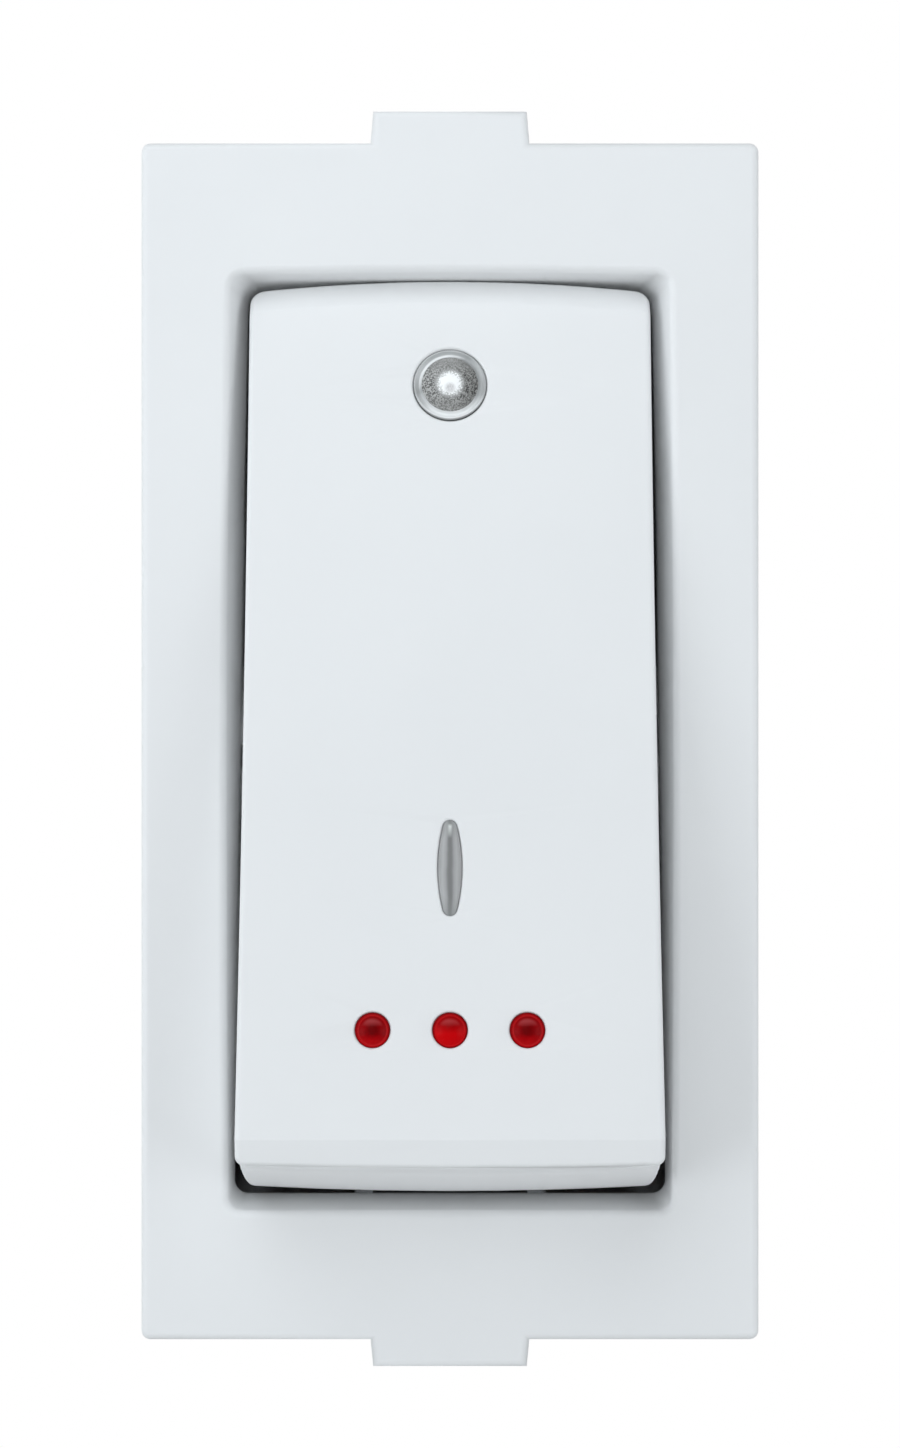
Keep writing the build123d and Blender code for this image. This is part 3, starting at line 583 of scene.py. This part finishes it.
def coil_tree(name, outline, material):
    """A node tree that carries an outline round a left-handed helix, for a wire or a thread."""
    tree = bpy.data.node_groups.new(name, "GeometryNodeTree")
    tree.interface.new_socket("Geometry", in_out="OUTPUT", socket_type="NodeSocketGeometry")
    sockets = {}
    for label in ("Radius", "Height", "Turns"):
        socket = tree.interface.new_socket(label, in_out="INPUT", socket_type="NodeSocketFloat")
        sockets[label] = socket.identifier
    nodes, links = tree.nodes, tree.links
    entry = nodes.new("NodeGroupInput")
    helix = nodes.new("GeometryNodeCurveSpiral")
    helix.inputs["Resolution"].default_value = 40
    links.new(entry.outputs["Turns"], helix.inputs["Rotations"])
    links.new(entry.outputs["Height"], helix.inputs["Height"])
    links.new(entry.outputs["Radius"], helix.inputs["Start Radius"])
    links.new(entry.outputs["Radius"], helix.inputs["End Radius"])
    section = nodes.new("GeometryNodeObjectInfo")
    section.inputs["Object"].default_value = outline
    sweep = nodes.new("GeometryNodeCurveToMesh")
    sweep.inputs["Fill Caps"].default_value = True
    links.new(helix.outputs["Curve"], sweep.inputs["Curve"])
    links.new(section.outputs["Geometry"], sweep.inputs["Profile Curve"])
    real = nodes.new("GeometryNodeRealizeInstances")
    links.new(sweep.outputs["Mesh"], real.inputs["Geometry"])
    paint = nodes.new("GeometryNodeSetMaterial")
    paint.inputs["Material"].default_value = material
    links.new(real.outputs["Geometry"], paint.inputs["Geometry"])
    links.new(paint.outputs["Geometry"], nodes.new("NodeGroupOutput").inputs["Geometry"])
    return tree, sockets


def outline_curve(name, points):
    """A small closed outline that a coil carries round."""
    curve = bpy.data.curves.new(name, "CURVE")
    curve.dimensions = "3D"
    line = curve.splines.new("POLY")
    line.points.add(len(points) - 1)
    for point, (x, y) in zip(line.points, points):
        point.co = (x, y, 0, 1)
    line.use_cyclic_u = True
    return placed(name, curve)


def wound(coil, radius, height, turns, place):
    """The plain mesh that a coil tree gives for these sizes."""
    tree, sockets = coil
    piece = placed("being_wound", bpy.data.meshes.new("being_wound"))
    winding = piece.modifiers.new("winding", "NODES")
    winding.node_group = tree
    for label, value in (("Radius", radius), ("Height", height), ("Turns", turns)):
        winding[sockets[label]] = value
    mesh = finished(piece)
    mesh.transform(place)
    return mesh


# Pieces with a finer shape than their nodes


def make_lens():
    """The lens: a low domed window inside a hollow clear collar."""
    wall = ((0, -0.7), (1.29, -0.7), (1.33, -0.66), (1.33, -0.10))
    lip = ((1.335, -0.05), (1.325, -0.02), (1.305, -0.004), (1.28, 0.004), (1.265, 0.002))
    hollow = (
        (1.24, -0.014), (1.21, -0.038), (1.17, -0.062), (1.13, -0.072),
        (1.095, -0.064), (1.07, -0.044), (1.05, -0.016),
    )
    profile = [(radius * mm, height * mm) for radius, height in (*wall, *lip, *hollow)]
    edge, crown, steps = 0.004 * mm, 0.15 * mm, 14
    for step in range(steps + 1):
        share = 1 - step / steps
        profile.append((window_radius * share, edge + (crown - edge) * (1 - share**2)))
    place = out_of_face(lens_place)
    mesh = soften(turned(profile, place, 128), angle=60)
    stand_in("lens", mesh, "rocker", "clear_plastic", window_frost, "indicator_lens")
    mesh.materials.append(collar_clear)
    back = place.inverted()
    for polygon in mesh.polygons:
        local = back @ polygon.center
        if math.hypot(local.x, local.y) > window_radius or local.z < 0:
            polygon.material_index = 1


def make_light_guide():
    """The frosted rod behind the cap, with a slightly dished end."""
    radius, chamfer, rounding = 1.04 * mm, 0.05 * mm, 0.03 * mm
    front = -0.72 * mm
    back = 1.5 * mm - face_at(lens_place)
    profile = [
        (0, back), (radius - chamfer, back), (radius, back + chamfer),
        (radius, front - rounding), (radius - rounding, front),
        (0.75 * mm, front - 0.02 * mm), (0.4 * mm, front - 0.05 * mm), (0, front - 0.06 * mm),
    ]
    mesh = soften(turned(profile, out_of_face(lens_place)), angle=50)
    stand_in("light_guide", mesh, "rocker", "frosted_plastic", guide_frost, "light_pipe")


def mark_width(height):
    """Half the inlay's width at a height above its middle. Its sides are bowed and its ends are arcs."""
    half_end, end_length = 0.235 * mm, 0.17 * mm
    side_end = mark_half_length - end_length
    end_radius = (half_end**2 + end_length**2) / (2 * end_length)
    if abs(height) <= side_end:
        return mark_half_width - (mark_half_width - half_end) * (height / side_end) ** 2
    inward = abs(height) - (mark_half_length - end_radius)
    return math.sqrt(max(end_radius**2 - inward**2, 0))


def make_mark():
    """The spindle inlay, crowned across and following the hollow face."""
    rows, across = 64, 16
    crown, sunk, depth, least = 0.12 * mm, 0.045 * mm, 0.88 * mm, 0.01 * mm
    work = bmesh.new()
    front, back = [], []
    for row in range(rows + 1):
        height = -mark_half_length * math.cos(math.pi * row / rows)
        width = max(mark_width(height), least)
        face = -face_at(mark_place + height)
        flattening = max(0.0, 1 - (height / mark_half_length) ** 8)
        line, under = [], []
        for step in range(across + 1):
            share = -math.cos(math.pi * step / across)
            rise = crown * math.sqrt(max(0, 1 - share**2)) * flattening - sunk
            line.append(work.verts.new((share * width, face - rise, mark_place + height)))
            under.append(work.verts.new((share * width, face + depth, mark_place + height)))
        front.append(line)
        back.append(under)

    def join(first, second):
        """Faces between two lines of points."""
        for corners in zip(first, first[1:], second[1:], second):
            work.faces.new(corners)

    for lower, upper in zip(front, front[1:]):
        join(lower, upper)
    for lower, upper in zip(back, back[1:]):
        join(upper, lower)
    for end in (0, -1):
        join([line[end] for line in back], [line[end] for line in front])
        join(front[end], back[end])
    bmesh.ops.recalc_face_normals(work, faces=work.faces)
    work.transform(on_the_rocker)
    mesh = soften(written(work, bpy.data.meshes.new("on_mark")), angle=50)
    stand_in("on_mark", mesh, "rocker", "grey_translucent", mark_smoke, "on_mark_insert")


def make_red_marks():
    """Three red domes, each with a fine step round it, on their backing bar."""
    margin, thickness, rounding = 0.3 * mm, 0.8 * mm, 0.12 * mm
    bar_reach = face_reach - 1.3 * mm
    base = bar_reach - face_at(dot_place)
    lip = ((0.60, -0.10), (0.61, -0.07), (0.606, -0.045), (0.592, -0.022), (0.57, -0.01), (0.53, -0.008))
    groove = ((0.508, -0.02), (0.49, -0.008))
    profile = [(0, base), (dot_radius, base), (dot_radius, -0.14 * mm)]
    profile += [(radius * mm, height * mm) for radius, height in (*lip, *groove)]
    crown_radius, crown, steps = 0.48 * mm, 0.17 * mm, 12
    for step in range(1, steps + 1):
        share = 1 - step / steps
        profile.append((crown_radius * share, crown * (1 - share**2) ** 0.85))
    domes = [turned(profile, out_of_face(dot_place, side), 64) for side in (-dot_pitch, 0, dot_pitch)]
    height = 2 * (dot_radius + margin)
    bar = cuboid((2 * dot_pitch + height, thickness, height), rounding)
    bar.transform(on_the_rocker @ Matrix.Translation((0, thickness / 2 - bar_reach, dot_place)))
    mesh = soften(together([*domes, bar]), angle=50)
    stand_in("red_marks", mesh, "rocker", "red_translucent", jewel_red, "red_marker_strip")


def make_springs():
    """The plungers' springs, in round wire."""
    wire, radius, turns, gap = 0.15 * mm, 1.12 * mm, 7.0, 0.02 * mm
    plunger_end, seat_end = 2.0 * mm, -4.0 * mm
    first = plunger_end - wire - gap
    length = first - (seat_end + wire + gap)
    outline = outline_curve("wire_outline", [(wire * x, wire * y) for x, y in circle(12)])
    coil = coil_tree("spring_coil", outline, wire_steel)
    for hand, side in (("left", -1), ("right", 1)):
        place = on_the_rocker @ Matrix.Translation((side * pole_offset, first, 0)) @ towards_viewer
        mesh = soften(wound(coil, radius, length, turns, place), angle=80)
        node = "plunger_spring_" + hand
        piece = stand_in("coil_spring_" + hand, mesh, "rocker", "spring_steel", wire_steel, node)
        # The slide takes 0.8 mm of the 6 mm between the spring's ends.
        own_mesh(piece)
    bpy.data.objects.remove(outline)


def slotted_head(seat, top, place, twist):
    """A screw's domed head between two heights on its axis, with its slot turned by a twist."""
    radius, chamfer, rounding, shoulder = 2.8 * mm, 0.15 * mm, 0.3 * mm, 0.42 * mm
    profile = [(0, seat), (radius - chamfer, seat), (radius, seat + chamfer)]
    for step in range(9):
        turn = math.pi / 2 * step / 8
        rise = rounding * math.sin(turn) - shoulder
        profile.append((radius - rounding * (1 - math.cos(turn)), top + rise))
    profile += [(radius / 2, top - 0.03 * mm), (0, top)]
    block = placed("head_being_cut", turned(profile, place, 72))
    slot_width, slot_height = 0.8 * mm, 1.8 * mm
    cutter = placed("slot_cutter", cuboid((3 * radius, slot_width, slot_height)))
    cutter.matrix_world = place @ Matrix.Translation((0, 0, top)) @ Matrix.Rotation(twist, 4, "Z")
    cut = block.modifiers.new("slot", "BOOLEAN")
    cut.operation = "DIFFERENCE"
    cut.solver = "EXACT"
    cut.object = cutter
    bpy.context.view_layer.update()
    mesh = cleaned(soften(finished(block), 0.04 * mm, angle=35), 0.0002 * mm)
    bpy.data.objects.remove(cutter)
    return mesh


def make_screws():
    """Slotted terminal screws with cut threads and a domed, chamfered head."""
    crest, root, pitch = 1.69 * mm, 1.38 * mm, 0.6 * mm
    head, tip, crease = 1.7 * mm, 0.6 * mm, 35
    low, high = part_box("terminal_screw_top_left")
    length = high.y - low.y
    seat = length - head
    shank = [
        (0, 0), (0.8 * mm, 0), (1.0 * mm, 0.25 * mm), (root, tip),
        (root, seat - 0.35 * mm), (root + 0.12 * mm, seat), (0, seat),
    ]
    flank, sunk = 0.24 * mm, -0.05 * mm
    outline = outline_curve("thread_outline", [(flank, sunk), (0, crest - root), (-flank, sunk)])
    coil = coil_tree("screw_thread", outline, zinc)
    turns = (seat - 1.0 * mm) / pitch
    for level, end in (("top", 1), ("bottom", -1)):
        for hand, side in (("left", -1), ("right", 1)):
            node = f"terminal_screw_{level}_{hand}"
            low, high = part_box(node)
            middle = (low + high) / 2
            place = Matrix.Translation((middle.x, low.y, middle.z)) @ Matrix.Rotation(-math.pi / 2, 4, "X")
            start = place @ Matrix.Translation((0, 0, tip + 0.1 * mm))
            mesh = together([
                soften(turned(shank, place, 48), angle=crease),
                soften(wound(coil, root, pitch * turns, turns, start), angle=crease),
                slotted_head(seat, length, place, 0.35 * end + 0.2 * side),
            ])
            shade_smooth(mesh, crease)
            stand_in(node + "_finished", mesh, f"screw_{level}_{hand}", "plated_steel", zinc, node)
    bpy.data.objects.remove(outline)


def make_resistor():
    """The resistor's body, fuller at its two ends."""
    low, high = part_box("ballast_resistor")
    middle = (low + high) / 2
    half = (high.z - low.z) / 2
    radius = (high.x - low.x) / 2
    waist = radius - 0.07 * mm
    rounding, rise = 0.28 * mm, 0.3 * mm
    profile = [(0, -half)]
    for step in range(1, 8):
        turn = math.pi / 2 * step / 7
        profile.append((radius - rounding * (1 - math.sin(turn)), rise * (1 - math.cos(turn)) - half))
    profile += [(radius, 0.75 * mm - half), (waist, 1.0 * mm - half), (waist, 0)]
    profile += [(reach, -height) for reach, height in reversed(profile[:-1])]
    mesh = soften(turned(profile, Matrix.Translation(middle), 64), angle=60)
    stand_in("film_resistor", mesh, "housing", "resistor_coat", resistor_enamel(middle), "ballast_resistor")


make_lens()
make_light_guide()
make_mark()
make_red_marks()
make_springs()
make_screws()
make_resistor()


# Pieces that keep their nodes' shape

eased("front_plate", "housing", "white_plastic", plate_white)
eased("rocker", "rocker", "rocker_plastic", rocker_white)
eased("rear_housing", "housing", "housing_plastic", housing_grey, 0.08 * mm)
eased("lamp_holder", "housing", "plunger_plastic", plunger_cream, 0.06 * mm)
eased("neon_lamp", "housing", "lamp_glass", glass)
for lead in ("lamp_lead_right", "lamp_lead_left", "resistor_lead"):
    eased(lead, "housing", "tinned_wire", tinned)
for hand in ("left", "right"):
    eased("plunger_" + hand, "plunger_" + hand, "plunger_plastic", plunger_cream, 0.05 * mm)
    eased("moving_contact_" + hand, "contact_" + hand, "copper", copper, 0.06 * mm)
    eased("moving_tip_" + hand, "contact_" + hand, "silver", silver, 0.08 * mm)
    eased("pivot_terminal_" + hand, "housing", "copper", copper, 0.06 * mm)
    eased("fixed_contact_" + hand, "housing", "copper", copper, 0.06 * mm)
    eased("fixed_tip_" + hand, "housing", "silver", silver, 0.08 * mm)
    for level in ("top", "bottom"):
        corner = level + "_" + hand
        eased("terminal_block_" + corner, "housing", "brass", brass, 0.1 * mm)
        eased("pressure_plate_" + corner, "clamp_" + corner, "plated_steel", zinc, 0.06 * mm)


# Light, floor and camera


def make_surroundings():
    """White where the camera, a reflection or the glass looks past the part, and a dim light on it."""
    world = bpy.data.worlds.new("studio")
    bpy.context.scene.world = world
    world.use_nodes = True
    nodes, links = world.node_tree.nodes, world.node_tree.links
    soft = nodes["Background"]
    soft.inputs["Color"].default_value = (1.0, 1.0, 0.99, 1)
    soft.inputs["Strength"].default_value = 0.19
    white = nodes.new("ShaderNodeBackground")
    white.inputs["Color"].default_value = (1, 1, 1, 1)
    rays = nodes.new("ShaderNodeLightPath")
    share = rays.outputs["Is Camera Ray"]
    for kind in ("Is Glossy Ray", "Is Transmission Ray"):
        either = nodes.new("ShaderNodeMath")
        either.operation = "MAXIMUM"
        links.new(share, either.inputs[0])
        links.new(rays.outputs[kind], either.inputs[1])
        share = either.outputs["Value"]
    seen = nodes.new("ShaderNodeMixShader")
    for socket, source in zip(seen.inputs, (share, soft.outputs[0], white.outputs[0])):
        links.new(source, socket)
    links.new(seen.outputs[0], nodes["World Output"].inputs["Surface"])


def make_lamps():
    """Round soft lamps in front of the part and above it, and two wide ones beside it, all facing it."""
    for name, place, size, power in (
        ("left_softbox", (-0.20, -0.15, 0.0), 0.19, 0.188),
        ("right_softbox", (0.20, -0.15, 0.0), 0.19, 0.133),
        ("front_softbox", (-0.04, -0.30, 0.0), 0.20, 0.06),
        ("overhead_softbox", (-0.04, -0.11, 0.12), 0.15, 0.121),
        ("left_card", (-0.25, -0.07, 0.0), 0.26, 0.14),
        ("right_card", (0.25, -0.07, 0.0), 0.26, 0.165),
    ):
        lamp = bpy.data.lights.new(name, "AREA")
        lamp.shape = "DISK"
        lamp.size = size
        lamp.energy = power
        lamp.color = (0.90, 0.955, 1.0)
        holder = placed(name, lamp)
        holder.location = place
        holder.rotation_euler = (-Vector(place)).to_track_quat("-Z", "Y").to_euler()


def pale_board():
    """The painted board that the part stands over. It shines a little for the camera alone."""
    finish = Finish("pale_board", roughness=0.8)
    finish.set("Base Color", finish.mottled(20 * mm, 3, (0.86, 0.86, 0.855), (0.89, 0.89, 0.885)))
    seen = finish.nodes.new("ShaderNodeLightPath").outputs["Is Camera Ray"]
    finish.set("Emission Color", (1, 1, 1))
    finish.set("Emission Strength", finish.product(seen, 0.4))
    return finish.material


def make_floor():
    """A wide board below the part."""
    left, right, near, far, level = -0.45, 0.45, -0.55, 0.25, -0.12
    corners = [(left, near, level), (right, near, level), (right, far, level), (left, far, level)]
    floor = bpy.data.meshes.new("floor")
    floor.from_pydata(corners, [], [(0, 1, 2, 3)])
    floor.materials.append(pale_board())
    board = placed("floor", floor)


def make_camera():
    """A camera square in front of the plate. The picture's height is measured at the plate's face."""
    distance, eye_height, picture_height = 80 * mm, 0.63 * mm, 52.63 * mm
    camera = bpy.data.cameras.new("camera")
    camera.sensor_fit = "VERTICAL"
    camera.sensor_height = 24
    camera.lens = camera.sensor_height * distance / picture_height
    camera.clip_start = 5 * mm
    viewer = placed("camera", camera)
    viewer.location = (0, plate_face - distance, eye_height)
    viewer.rotation_euler = (math.pi / 2, 0, 0)
    bpy.context.scene.camera = viewer
    bpy.context.scene.view_settings.view_transform = "Standard"


make_surroundings()
make_lamps()
make_floor()
make_camera()
